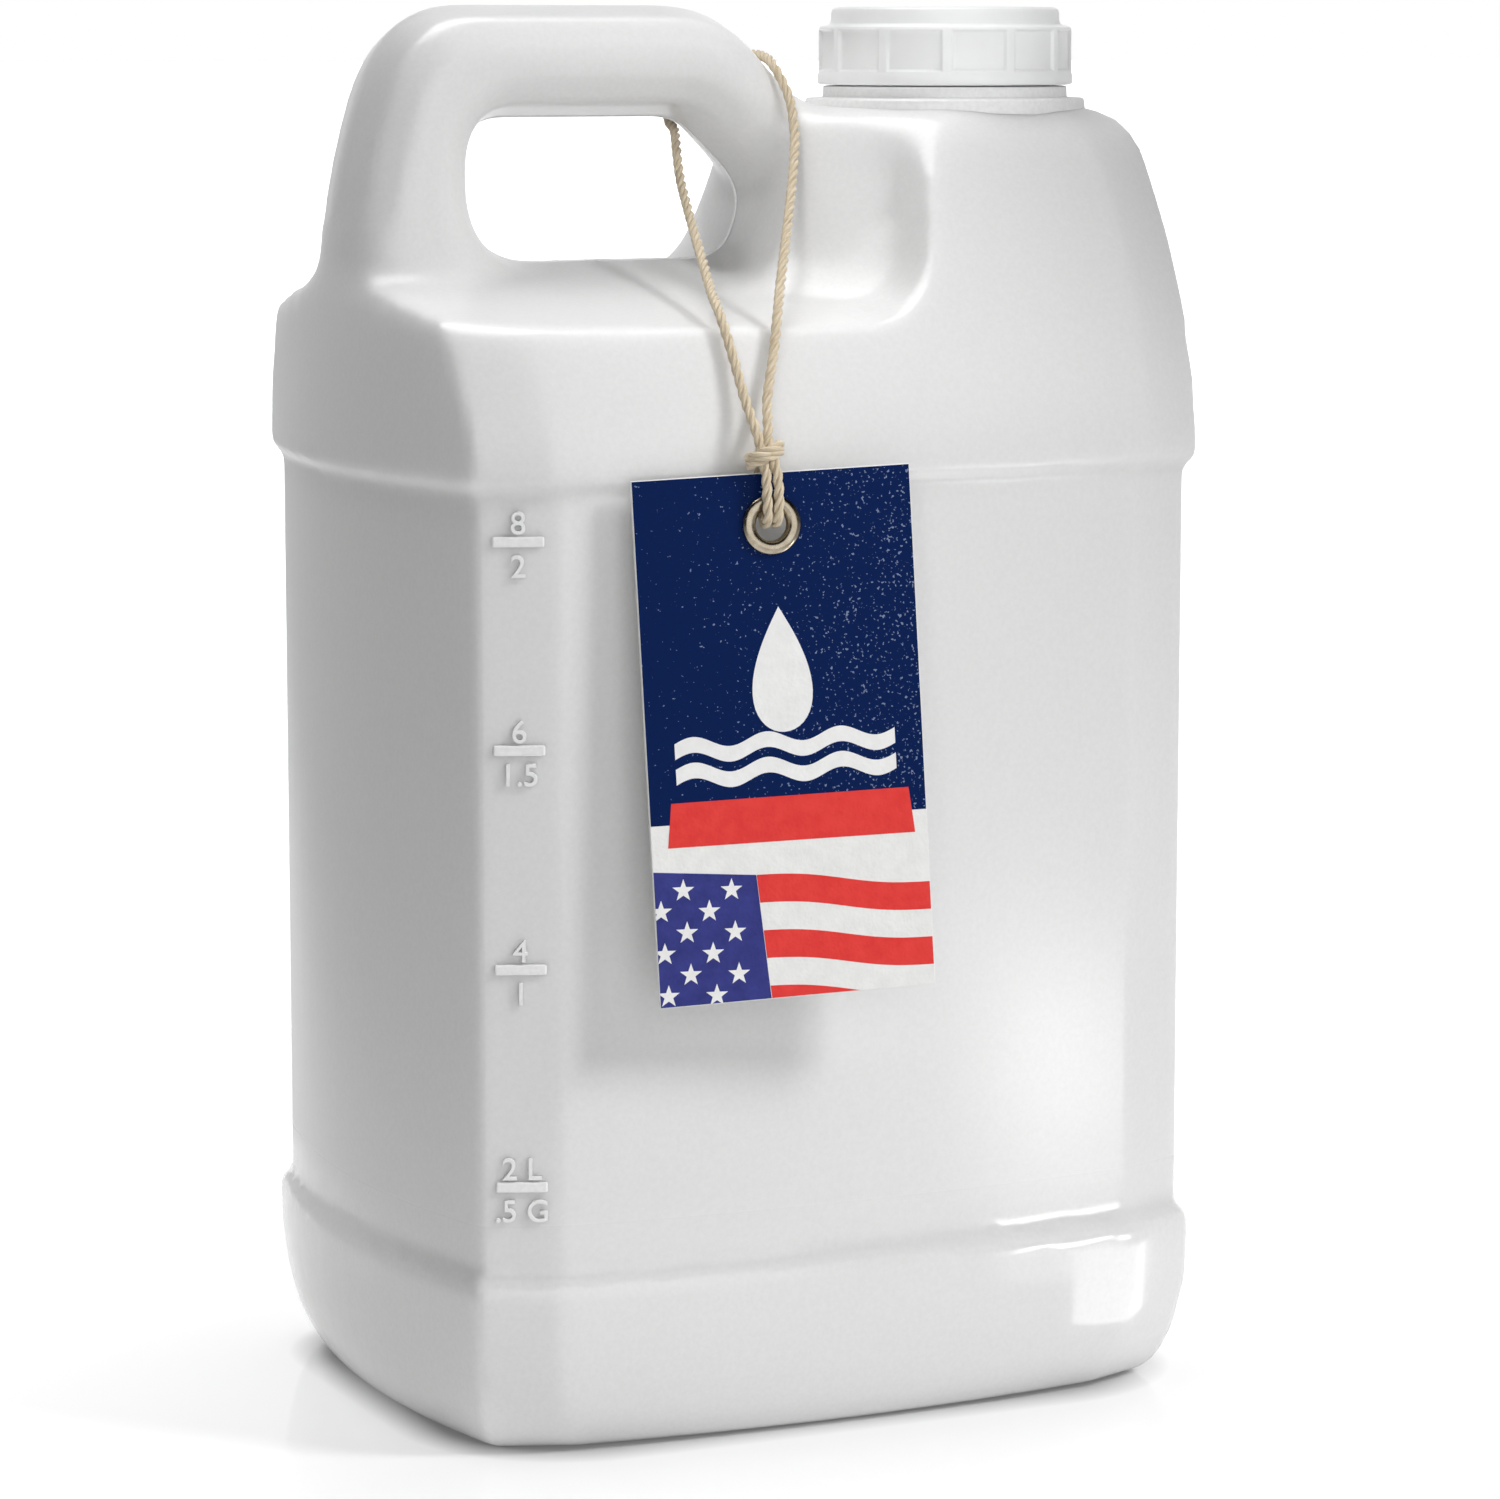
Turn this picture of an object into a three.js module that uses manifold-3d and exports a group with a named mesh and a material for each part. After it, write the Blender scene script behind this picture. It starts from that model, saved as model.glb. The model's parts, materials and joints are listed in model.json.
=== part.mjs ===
// Plastic water carboy: a blow-moulded jug with a carry handle moulded into its shoulder, a ribbed
// screw cap, and a card tag that hangs from the handle on a loop of twine.
// Millimetres, +Z up, floor at z = 0. The front looks along -Y and the handle is at -X.
import * as THREE from "three";
import { mergeVertices } from "three/addons/utils/BufferGeometryUtils.js";
import Module from "manifold-3d";

// Plan of the jug: a rectangle with bowed sides and a narrow facet across each corner
const CORNER_X = 104.1;
const CORNER_Y = 82.9;
const END_BOW = 10.4;
const FRONT_BOW = 5.4;
const FACET_X = 19.7;
const FACET_Y = 8;

// Heights of the foot, the two raised bands and the sunk panel between them
const FOOT_HEIGHT = 40;
const FOOT_INSET = 14;
const LOWER_BAND_TOP = 45.8;
const UPPER_BAND_BOTTOM = 252.5;
const PANEL_INSET = 3.1;
const STEP_HEIGHT = 2.6;

// Shoulder: the front and back lean in above the upper band and turn over into a flat top
const LEAN_START = 256;
const LEAN_SLOPE = 0.6;
const LEAN_SOFTNESS = 16;
const END_LEAN_START = 290;
const END_LEAN_RATE = 0.0025;
const SHOULDER_TOP = 344.5;
const TOP_ROUND = 10;

// Hand room under the handle: a saddle that falls to the front and back, and the neck tower's wall
const SADDLE_CREST = 304.3;
const SADDLE_FALL = 14 / 72;
const WALL_MIDDLE_X = 3.8;
const WALL_MIDDLE_Z = 319;
const WALL_LEAN = 0.27;
const WALL_FRONT_X = 33.5;
const POCKET_START = 0.5;
const POCKET_END = 0.77;
const POCKET_SHARE = 0.83;
const WALL_FOOT_RADIUS = 20;

// Carry handle: a loop with a bevelled section, thickest along its crest
const HANDLE_TOP = 372;
const HANDLE_ROOT = 268;
const HANDLE_LAND = 2;
const HANDLE_BEVEL_DEPTH = 20;
const HANDLE_BEVEL_WIDTH = 12;
const HANDLE_HALF = HANDLE_LAND / 2 + HANDLE_BEVEL_DEPTH;
const GRIP_TOP = 342.6;
const GRIP_LEFT = -77.5;
const LEG_OUTSIDE = -114.2;
const LEG_FLARE = 17;
const LEG_FLARE_FOOT = 297.5;

// Neck and cap share one upright axis
const NECK_X = 66;
const BOSS_RADIUS = 38.4;
const BOSS_TOP = 347;
const NECK_RADIUS = 33.4;
const CAP_BOTTOM = 350.4;
const CAP_RING_RADIUS = 35;
const CAP_RING_TOP = 353.9;
const CAP_SKIRT_RADIUS = 33.3;
const CAP_SKIRT_TOP = 366.4;
const CAP_CROWN_RADIUS = 31.2;
const CAP_TOP = 371.5;
const CAP_RIBS = 12;
const CAP_RIB_WIDTH = 2.4;
const CAP_RIB_REACH = 34.6;
const CAP_RIB_TURN = 4.4;

const CLEARANCE = 0.3;

// Card tag with a metal eyelet, hung a little askew in front of the panel
const TAG_WIDTH = 73;
const TAG_HEIGHT = 134;
const TAG_THICKNESS = 1.2;
const TAG_CENTRE = new THREE.Vector3(-28.1, -97.5, 187.6);
const TAG_YAW = -10;
const TAG_PITCH = -3;
const TAG_ROLL = -2.4;
const EYELET_X = -0.6;
const EYELET_Z = 53.8;
const EYELET_BORE = 4.2;
const EYELET_BARREL = 5.4;
const EYELET_FLANGE = 7.7;
const EYELET_LIP = 1;

// Twine: from the knot up the left strand, through the grip, round the handle and down to the knot
const TWINE_RADIUS = 1.4;
const TWINE_STEPS = 72;
const TWINE_ROUTE = [
  [-33.2, -94.2, 263],
  [-32.9, -87.6, 272.6],
  [-32.4, -81.4, 283.2],
  [-31.8, -74.5, 293.3],
  [-30.2, -62.5, 298],
  [-27.4, -48.5, 304.6],
  [-24.8, -35.5, 311.6],
  [-22.3, -23.5, 318.6],
  [-20, -12.5, 326],
  [-17.8, -3.5, 333.6],
  [-15.8, 4.5, 338.6],
  [-13.4, 13.1, 340.8],
  [-9.3, 21.1, 345.6],
  [-3.2, 23.2, 352],
  [2.4, 20.8, 357.4],
  [6.6, 13.2, 361.5],
  [8.6, 3, 363.2],
  [8.2, -7.4, 361.2],
  [8.2, -15.5, 356],
  [9, -21.4, 347.9],
  [8.3, -27, 339.2],
  [5.5, -34, 331.3],
  [-0.3, -44.5, 321.1],
  [-7.4, -56.5, 310],
  [-13.6, -67.2, 299.9],
  [-17.6, -75.3, 293.5],
  [-21.5, -81.6, 283.5],
  [-25.5, -87.4, 272.9],
  [-29.4, -94.2, 263],
];
const KNOT_SIZE = [5.4, 3.9, 3.4];
const KNOT_LIFT = 4.4;
const KNOT_FORWARD = 1.2;
const STRAND_OFFSET = 3.8;
const STRAND_SPREAD = 1.3;

const LATHE_SIDES = 64;

const wasm = await Module();
wasm.setup();

// A closed mesh with shared corners, ready to be joined or cut
function solidOf(geometry) {
  const bare = geometry.index ? geometry.toNonIndexed() : geometry.clone();
  for (const name of Object.keys(bare.attributes)) {
    if (name !== "position") {
      bare.deleteAttribute(name);
    }
  }
  const merged = mergeVertices(bare, 1e-4);
  const corners = merged.index.array;
  const kept = [];
  for (let i = 0; i < corners.length; i += 3) {
    const [a, b, c] = corners.slice(i, i + 3);
    if (a !== b && b !== c && c !== a) {
      kept.push(a, b, c);
    }
  }
  const vertProperties = new Float32Array(merged.attributes.position.array);
  return new wasm.Manifold(new wasm.Mesh({ numProp: 3, vertProperties, triVerts: new Uint32Array(kept) }));
}

function geometryOf(solid) {
  const mesh = solid.getMesh();
  const geometry = new THREE.BufferGeometry();
  geometry.setAttribute("position", new THREE.BufferAttribute(mesh.vertProperties, 3));
  geometry.setIndex(new THREE.BufferAttribute(mesh.triVerts, 1));
  geometry.computeVertexNormals();
  return geometry;
}

// A skin over closed outlines of equal length, each end closed by a fan from its middle
function loft(outlines) {
  const count = outlines[0].length;
  const points = outlines.flat();
  const index = [];
  for (let level = 0; level + 1 < outlines.length; level++) {
    for (let i = 0; i < count; i++) {
      const a = level * count + i;
      const b = level * count + ((i + 1) % count);
      index.push(a, b, b + count, a, b + count, a + count);
    }
  }
  for (const level of [0, outlines.length - 1]) {
    const middle = new THREE.Vector3();
    outlines[level].forEach((point) => middle.addScaledVector(point, 1 / count));
    const hub = points.push(middle) - 1;
    for (let i = 0; i < count; i++) {
      const a = level * count + i;
      const b = level * count + ((i + 1) % count);
      index.push(hub, ...(level === 0 ? [b, a] : [a, b]));
    }
  }
  const geometry = new THREE.BufferGeometry().setFromPoints(points);
  geometry.setIndex(index);
  return geometry;
}

function lathe(profile, sides = LATHE_SIDES) {
  const points = profile.map(([radius, z]) => new THREE.Vector2(radius, z));
  return new THREE.LatheGeometry(points, sides).rotateX(Math.PI / 2);
}

// How far the front leans in at a height, and the jug's half depth at its corners there
function halfDepth(z) {
  const rise = Math.max(0, z - LEAN_START);
  return CORNER_Y - LEAN_SLOPE * (Math.hypot(rise, LEAN_SOFTNESS) - LEAN_SOFTNESS);
}

// One level of the jug, anticlockwise from the middle of the front
function planOutline(z, inset) {
  const frontSteps = 10;
  const facetSteps = 3;
  const endSteps = 8;
  const halfY = halfDepth(z) - inset;
  const bow = END_BOW * ((halfY - FACET_Y) / (CORNER_Y - FACET_Y)) ** 2;
  const endX = CORNER_X + END_BOW - END_LEAN_RATE * Math.max(0, z - END_LEAN_START) ** 2 - inset;
  const halfX = endX - bow;
  const quarter = [];
  for (let i = 0; i < frontSteps; i++) {
    const along = i / frontSteps;
    quarter.push([(halfX - FACET_X) * along, halfY + FRONT_BOW * (1 - along ** 2)]);
  }
  for (let i = 0; i < facetSteps; i++) {
    const along = i / facetSteps;
    quarter.push([halfX - FACET_X * (1 - along), halfY - FACET_Y * along]);
  }
  for (let i = 0; i < endSteps; i++) {
    const left = 1 - i / endSteps;
    quarter.push([halfX + bow * (1 - left ** 2), (halfY - FACET_Y) * left]);
  }
  const end = [endX, 0];
  const back = quarter.slice(1).reverse();
  const front = [0, halfY + FRONT_BOW];
  const right = [...quarter.map(([x, y]) => [x, -y]), end, ...back];
  const left = [front, ...quarter.slice(1), [end[0], 0], ...back.map(([x, y]) => [x, -y])];
  return [...right, ...left.map(([x, y]) => [-x, y])].map(([x, y]) => new THREE.Vector3(x, y, z));
}

function jugBlank() {
  const levels = [];
  const footSteps = 8;
  for (let i = 0; i <= footSteps; i++) {
    const turn = (i / footSteps) * (Math.PI / 2);
    levels.push([FOOT_HEIGHT * (1 - Math.cos(turn)), FOOT_INSET * (1 - Math.sin(turn))]);
  }
  levels.push([LOWER_BAND_TOP, 0]);
  const panelBottom = LOWER_BAND_TOP + STEP_HEIGHT;
  const panelTop = UPPER_BAND_BOTTOM - STEP_HEIGHT;
  const panelSteps = 4;
  for (let i = 0; i <= panelSteps; i++) {
    levels.push([THREE.MathUtils.lerp(panelBottom, panelTop, i / panelSteps), PANEL_INSET]);
  }
  levels.push([UPPER_BAND_BOTTOM, 0]);
  const roundStart = SHOULDER_TOP - TOP_ROUND;
  const shoulderSteps = 17;
  for (let i = 0; i <= shoulderSteps; i++) {
    levels.push([THREE.MathUtils.lerp(LEAN_START, roundStart, i / shoulderSteps), 0]);
  }
  const roundSteps = 4;
  for (let i = 1; i <= roundSteps; i++) {
    const turn = (i / roundSteps) * (Math.PI / 2);
    levels.push([roundStart + TOP_ROUND * Math.sin(turn), TOP_ROUND * (1 - Math.cos(turn))]);
  }
  return solidOf(loft(levels.map(([z, inset]) => planOutline(z, inset))));
}

// The hand room's boundary for one distance from the parting plane: saddle floor, foot curve, wall
function handRoomOutline(y) {
  const farLeft = -170;
  const farTop = 430;
  const wallSteps = 7;
  const footSteps = 5;
  const floor = SADDLE_CREST - SADDLE_FALL * Math.abs(y);
  const wallX = (z) => {
    const front = halfDepth(Math.min(z, SHOULDER_TOP)) + FRONT_BOW;
    const outward = Math.min(Math.abs(y) / front, 1.12);
    const pocket = THREE.MathUtils.smoothstep(outward, POCKET_START, POCKET_END);
    const flank = Math.max(0, outward - POCKET_END) / (1 - POCKET_END);
    const reach = POCKET_SHARE * pocket + (1 - POCKET_SHARE) * flank;
    const lean = WALL_LEAN * (z - WALL_MIDDLE_Z);
    return lean + WALL_MIDDLE_X + (WALL_FRONT_X - WALL_MIDDLE_X) * reach;
  };
  const radius = Math.min(WALL_FOOT_RADIUS, 2 + Math.abs(y) * 0.4);
  const wallFoot = floor + radius;
  const outline = [[farLeft, floor], [farLeft, farTop]];
  for (let i = 0; i <= wallSteps; i++) {
    const z = THREE.MathUtils.lerp(SHOULDER_TOP + 4, wallFoot, i / wallSteps);
    outline.push([wallX(z), z]);
  }
  outline.splice(2, 0, [wallX(SHOULDER_TOP + 4), farTop]);
  const corner = [wallX(floor), floor];
  const start = [wallX(wallFoot), wallFoot];
  for (let i = 1; i <= footSteps; i++) {
    const t = i / footSteps;
    const end = [corner[0] - radius, floor];
    const bezier = (k) => (1 - t) ** 2 * start[k] + 2 * t * (1 - t) * corner[k] + t ** 2 * end[k];
    outline.push([bezier(0), bezier(1)]);
  }
  return outline.map(([x, z]) => new THREE.Vector3(x, y, z));
}

// Its levels stand closest where the wall turns round to the front and back
function handRoom() {
  const reach = 99;
  const turnStart = 22;
  const turnEnd = 78;
  const places = [0];
  for (let y = 6; y < turnStart; y += 6) {
    places.push(y);
  }
  for (let y = turnStart; y <= turnEnd; y += 1.6) {
    places.push(y);
  }
  places.push(85, reach);
  const mirrored = places.slice(1).reverse().map((y) => -y);
  return solidOf(loft([...mirrored, ...places].map(handRoomOutline)));
}

// The handle seen from the front, with the grip hole through it, in the parting plane
function handleLoop() {
  const outline = new THREE.Shape();
  outline.moveTo(-108, HANDLE_ROOT);
  outline.lineTo(LEG_OUTSIDE, 300);
  outline.bezierCurveTo(-114.6, 318, -110, 336, -106.3, 348);
  outline.bezierCurveTo(-102, 362, -93, HANDLE_TOP, -78, HANDLE_TOP);
  outline.lineTo(-22, HANDLE_TOP);
  outline.bezierCurveTo(-8, HANDLE_TOP, -2, 367.5, 3, 362.8);
  outline.lineTo(16.5, 349.7);
  outline.lineTo(34, 336);
  outline.lineTo(34, HANDLE_ROOT);
  outline.closePath();
  const grip = new THREE.Path();
  grip.moveTo(-66, GRIP_TOP);
  grip.bezierCurveTo(-74, GRIP_TOP, GRIP_LEFT, 338, GRIP_LEFT, 330);
  grip.lineTo(GRIP_LEFT, 324);
  grip.bezierCurveTo(GRIP_LEFT, 313, -70, SADDLE_CREST, -58, SADDLE_CREST);
  grip.lineTo(-10, SADDLE_CREST);
  grip.bezierCurveTo(0, SADDLE_CREST, 9, 316, 1, 325.8);
  grip.lineTo(-10, 337.4);
  grip.bezierCurveTo(-14, 341.4, -17, GRIP_TOP, -22, GRIP_TOP);
  grip.closePath();
  outline.holes.push(grip);
  const geometry = new THREE.ExtrudeGeometry(outline, {
    depth: HANDLE_LAND,
    steps: 1,
    curveSegments: 8,
    bevelEnabled: true,
    bevelThickness: HANDLE_BEVEL_DEPTH,
    bevelSize: HANDLE_BEVEL_WIDTH,
    bevelOffset: -HANDLE_BEVEL_WIDTH,
    bevelSegments: 2,
  });
  geometry.translate(0, 0, -HANDLE_LAND / 2);
  return solidOf(geometry.rotateX(Math.PI / 2));
}

// The handle's leg spreads on a quarter round where it meets the saddle
function legRoot() {
  const sides = 36;
  const squareness = 2 / 2.6;
  const levels = [[LEG_FLARE_FOOT - 10, LEG_FLARE]];
  const flareSteps = 6;
  for (let i = 0; i <= flareSteps; i++) {
    const turn = (i / flareSteps) * (Math.PI / 2);
    levels.push([LEG_FLARE_FOOT + LEG_FLARE * (1 - Math.cos(turn)), LEG_FLARE * (1 - Math.sin(turn))]);
  }
  const power = (value) => Math.sign(value) * Math.abs(value) ** squareness;
  const outlines = levels.map(([z, grown]) => {
    const inside = GRIP_LEFT + grown - 1;
    const outside = LEG_OUTSIDE + 0.6;
    const halfX = (inside - outside) / 2;
    const halfY = HANDLE_HALF - 0.5 + grown;
    const outline = [];
    for (let k = 0; k < sides; k++) {
      const angle = (k / sides) * Math.PI * 2;
      const x = outside + halfX * (1 + power(Math.cos(angle)));
      outline.push(new THREE.Vector3(x, halfY * power(Math.sin(angle)), z));
    }
    return outline;
  });
  return solidOf(loft(outlines));
}

function neck() {
  const buried = SHOULDER_TOP - 9;
  const profile = [
    [0, buried],
    [BOSS_RADIUS, buried],
    [BOSS_RADIUS, BOSS_TOP - 0.8],
    [BOSS_RADIUS - 0.8, BOSS_TOP],
    [NECK_RADIUS, BOSS_TOP],
    [NECK_RADIUS, CAP_BOTTOM - CLEARANCE],
    [0, CAP_BOTTOM - CLEARANCE],
  ];
  return solidOf(lathe(profile).translate(NECK_X, 0, 0));
}

function jugGeometry() {
  const body = jugBlank().subtract(handRoom());
  return geometryOf(body.add(legRoot()).add(handleLoop()).add(neck()));
}

function capGeometry() {
  const profile = [
    [0, CAP_BOTTOM],
    [CAP_RING_RADIUS - 0.5, CAP_BOTTOM],
    [CAP_RING_RADIUS, CAP_BOTTOM + 0.5],
    [CAP_RING_RADIUS, CAP_RING_TOP - 0.6],
    [CAP_SKIRT_RADIUS, CAP_RING_TOP],
    [CAP_SKIRT_RADIUS - 0.3, CAP_SKIRT_TOP - 0.8],
    [CAP_SKIRT_RADIUS - 1, CAP_SKIRT_TOP],
    [CAP_CROWN_RADIUS, CAP_SKIRT_TOP + 0.4],
    [CAP_CROWN_RADIUS, CAP_TOP - 1.2],
    [CAP_CROWN_RADIUS - 0.4, CAP_TOP - 0.4],
    [CAP_CROWN_RADIUS - 1.4, CAP_TOP],
    [0, CAP_TOP],
  ];
  let cap = solidOf(lathe(profile, 48));
  const ribHeight = CAP_SKIRT_TOP - CAP_RING_TOP;
  const ribRoot = CAP_SKIRT_RADIUS - 2;
  for (let i = 0; i < CAP_RIBS; i++) {
    const rib = new THREE.BoxGeometry(CAP_RIB_REACH - ribRoot, CAP_RIB_WIDTH, ribHeight);
    rib.translate((CAP_RIB_REACH + ribRoot) / 2, 0, CAP_RING_TOP - 0.4 + ribHeight / 2);
    rib.rotateZ(THREE.MathUtils.degToRad(CAP_RIB_TURN + (i * 360) / CAP_RIBS));
    cap = cap.add(solidOf(rib));
  }
  return geometryOf(cap);
}

// The tag and its eyelet in the tag's own frame: width along X, height along Z, print towards -Y
function tagGeometry() {
  const card = new THREE.Shape();
  card.moveTo(-TAG_WIDTH / 2, -TAG_HEIGHT / 2);
  card.lineTo(TAG_WIDTH / 2, -TAG_HEIGHT / 2);
  card.lineTo(TAG_WIDTH / 2, TAG_HEIGHT / 2);
  card.lineTo(-TAG_WIDTH / 2, TAG_HEIGHT / 2);
  card.closePath();
  const hole = new THREE.Path();
  hole.absarc(EYELET_X, EYELET_Z, EYELET_BARREL + CLEARANCE, 0, Math.PI * 2, true);
  card.holes.push(hole);
  const settings = { depth: TAG_THICKNESS, bevelEnabled: false, curveSegments: 16 };
  const geometry = new THREE.ExtrudeGeometry(card, settings);
  return geometry.translate(0, 0, -TAG_THICKNESS / 2).rotateX(Math.PI / 2);
}

function eyeletGeometry() {
  const inner = TAG_THICKNESS / 2 + CLEARANCE;
  const outer = inner + EYELET_LIP;
  const half = [
    [EYELET_BARREL, 0],
    [EYELET_BARREL, inner],
    [EYELET_FLANGE, inner],
    [EYELET_FLANGE - 0.4, outer - 0.3],
    [EYELET_BORE + 1.2, outer],
    [EYELET_BORE, outer - 0.6],
    [EYELET_BORE, 0],
  ];
  const mirrored = half.slice(1, -1).map(([radius, z]) => [radius, -z]).reverse();
  const ring = [...half, ...mirrored, half[0]];
  const points = ring.map(([radius, z]) => new THREE.Vector2(radius, z));
  const geometry = new THREE.LatheGeometry(points, 20);
  return geometry.translate(EYELET_X, 0, 0).translate(0, 0, EYELET_Z);
}

// A round tube of twine along a curve
function tube(curve, steps) {
  const section = new THREE.Shape();
  section.absarc(0, 0, TWINE_RADIUS, 0, Math.PI * 2, false);
  return new THREE.ExtrudeGeometry(section, { extrudePath: curve, steps, curveSegments: 4 });
}

function twineGeometry() {
  const points = TWINE_ROUTE.map(([x, y, z]) => new THREE.Vector3(x, y, z));
  return tube(new THREE.CatmullRomCurve3(points), TWINE_STEPS);
}

// The knot sits on the tag's upper edge, and two strands go from it through the eyelet and back up
function knotGeometry() {
  const knotZ = TAG_HEIGHT / 2 + KNOT_LIFT;
  const body = new THREE.SphereGeometry(1, 16, 10).scale(...KNOT_SIZE);
  let knot = solidOf(body.translate(EYELET_X, -KNOT_FORWARD, knotZ));
  for (const side of [-1, 1]) {
    const x = EYELET_X + side * STRAND_SPREAD;
    const route = [
      [-KNOT_FORWARD, knotZ],
      [-STRAND_OFFSET, knotZ - 5],
      [-STRAND_OFFSET, EYELET_Z + 6],
      [-STRAND_OFFSET * 0.75, EYELET_Z + 1.6],
      [0, EYELET_Z - 0.8],
      [STRAND_OFFSET * 0.75, EYELET_Z + 1.6],
      [STRAND_OFFSET, EYELET_Z + 6],
      [STRAND_OFFSET, knotZ - 5],
      [-KNOT_FORWARD + 1, knotZ],
    ];
    const points = route.map(([y, z]) => new THREE.Vector3(x, y, z));
    knot = knot.add(solidOf(tube(new THREE.CatmullRomCurve3(points), 15)));
  }
  return geometryOf(knot);
}

const naturalHdpe = new THREE.MeshStandardMaterial({ color: "#e6e7e8", roughness: 0.42, metalness: 0 });
const whiteCap = new THREE.MeshStandardMaterial({ color: "#f4f5f6", roughness: 0.3, metalness: 0 });
const printedCard = new THREE.MeshStandardMaterial({ color: "#14214d", roughness: 0.55, metalness: 0 });
const nickel = new THREE.MeshStandardMaterial({ color: "#b9b5ae", roughness: 0.25, metalness: 1 });
const jute = new THREE.MeshStandardMaterial({ color: "#c9b28c", roughness: 0.9, metalness: 0 });
const knottedJute = jute.clone();

function part(name, geometry, material) {
  const mesh = new THREE.Mesh(geometry, material);
  mesh.name = name;
  return mesh;
}

const carboy = new THREE.Group();
carboy.add(part("jug", jugGeometry(), naturalHdpe));

const cap = part("cap", capGeometry(), whiteCap);
cap.position.x = NECK_X;
carboy.add(cap);

const tag = new THREE.Group();
tag.position.copy(TAG_CENTRE);
tag.rotation.order = "ZXY";
tag.rotation.set(
  THREE.MathUtils.degToRad(TAG_PITCH),
  THREE.MathUtils.degToRad(TAG_ROLL),
  THREE.MathUtils.degToRad(TAG_YAW),
);
tag.add(part("tag", tagGeometry(), printedCard));
tag.add(part("eyelet", eyeletGeometry(), nickel));
tag.add(part("knot", knotGeometry(), knottedJute));
carboy.add(tag);
carboy.add(part("twine", twineGeometry(), jute));

export default carboy;
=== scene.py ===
import json
import math
import bpy
from mathutils import Matrix, Vector

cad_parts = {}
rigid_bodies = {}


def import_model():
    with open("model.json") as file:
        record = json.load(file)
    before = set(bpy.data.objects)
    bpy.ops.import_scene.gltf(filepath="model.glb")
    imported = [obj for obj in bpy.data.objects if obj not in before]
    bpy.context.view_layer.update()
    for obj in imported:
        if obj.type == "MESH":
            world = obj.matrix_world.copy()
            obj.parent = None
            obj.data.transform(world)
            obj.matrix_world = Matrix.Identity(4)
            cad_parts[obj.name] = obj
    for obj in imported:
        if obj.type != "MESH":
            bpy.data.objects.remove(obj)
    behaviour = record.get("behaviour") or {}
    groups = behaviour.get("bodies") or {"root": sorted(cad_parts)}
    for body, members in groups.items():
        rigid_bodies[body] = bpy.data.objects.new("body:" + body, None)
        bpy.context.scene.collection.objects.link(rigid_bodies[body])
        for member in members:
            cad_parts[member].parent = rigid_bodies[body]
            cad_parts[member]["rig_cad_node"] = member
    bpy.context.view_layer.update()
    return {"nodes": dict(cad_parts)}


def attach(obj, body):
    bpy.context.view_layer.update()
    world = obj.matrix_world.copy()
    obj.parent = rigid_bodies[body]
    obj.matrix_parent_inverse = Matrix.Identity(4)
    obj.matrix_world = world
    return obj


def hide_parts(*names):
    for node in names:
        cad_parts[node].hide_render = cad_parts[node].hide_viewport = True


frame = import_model()

# Camera: a long lens at chest height of the jug, turned to show the front and a sliver of the handle
# end. Place, turn and focal length were worked out from the jug's own edges.
bpy.ops.object.camera_add(
    location=(-0.5757, -1.2664, 0.3644), rotation=(math.radians(82.044), 0, math.radians(-24.714))
)
camera = bpy.context.object
camera.data.lens = 123.0
camera.data.sensor_width = 36
bpy.context.scene.camera = camera

# Jug: one hollow blow-moulding of natural high-density polyethylene. Body, shoulder, handle and boss
# leave the mould in one piece, so every edge on it is a soft radius.
MM = 0.001
VOXEL = 1.95 * MM
EVEN_PASSES = 2
SOFT_PASSES = 26
BLEND_PASSES = 80
BEVEL_SOFTNESS = 0.08
NECK_X = 66 * MM
NECK_CUT_RADIUS = 40 * MM
NECK_CUT_FOOT = 344.5 * MM
NECK_CUT_HEIGHT = 10 * MM


def only(*chosen):
    """Selects these pieces and nothing else, the last one active."""
    bpy.ops.object.select_all(action="DESELECT")
    for piece in chosen:
        piece.select_set(True)
    bpy.context.view_layer.objects.active = chosen[-1]


def copy_of_solid(node, name):
    """A free copy of a CAD solid with its corners joined."""
    only(frame["nodes"][node])
    bpy.ops.object.duplicate()
    piece = bpy.context.object
    piece.name = name
    del piece["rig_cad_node"]
    bpy.ops.object.mode_set(mode="EDIT")
    bpy.ops.mesh.select_all(action="SELECT")
    bpy.ops.mesh.remove_doubles(threshold=1e-6)
    bpy.ops.object.mode_set(mode="OBJECT")
    return piece


def apply_modifier(piece, kind, **settings):
    only(piece)
    modifier = piece.modifiers.new(kind.lower(), kind)
    for key, value in settings.items():
        setattr(modifier, key, value)
    bpy.ops.object.modifier_apply(modifier=modifier.name)


def dress(piece, material, slot, *nodes):
    """Gives a piece its material, and lets it ride and stand for CAD nodes; the slot is not used."""
    piece.data.materials.clear()
    piece.data.materials.append(material)
    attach(piece, "root")
    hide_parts(*nodes)


def linear(code):
    """An sRGB hex colour as linear RGBA."""
    values = [int(code[i : i + 2], 16) / 255 for i in (1, 3, 5)]
    return [v / 12.92 if v <= 0.04045 else ((v + 0.055) / 1.055) ** 2.4 for v in values] + [1]


def add_node(material, kind, settings=(), feeds=(), **sockets):
    """Adds a shader node. Feeds go to its inputs in order, sockets to inputs by name; each is a value or
    the output that drives it."""
    made = material.node_tree.nodes.new("ShaderNode" + kind)
    for key, value in dict(settings).items():
        setattr(made, key, value)
    named = [(made.inputs[key.replace("_", " ")], value) for key, value in sockets.items()]
    for socket, value in [*zip(made.inputs, feeds), *named]:
        if isinstance(value, bpy.types.NodeSocket):
            material.node_tree.links.new(value, socket)
        else:
            socket.default_value = value
    return made


def new_material(name):
    """An empty material; the caller adds its surface."""
    material = bpy.data.materials.new(name)
    material.use_nodes = True
    material.node_tree.nodes.clear()
    return material


def shade(material, surface):
    add_node(material, "OutputMaterial", Surface=surface.outputs[0])


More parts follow.
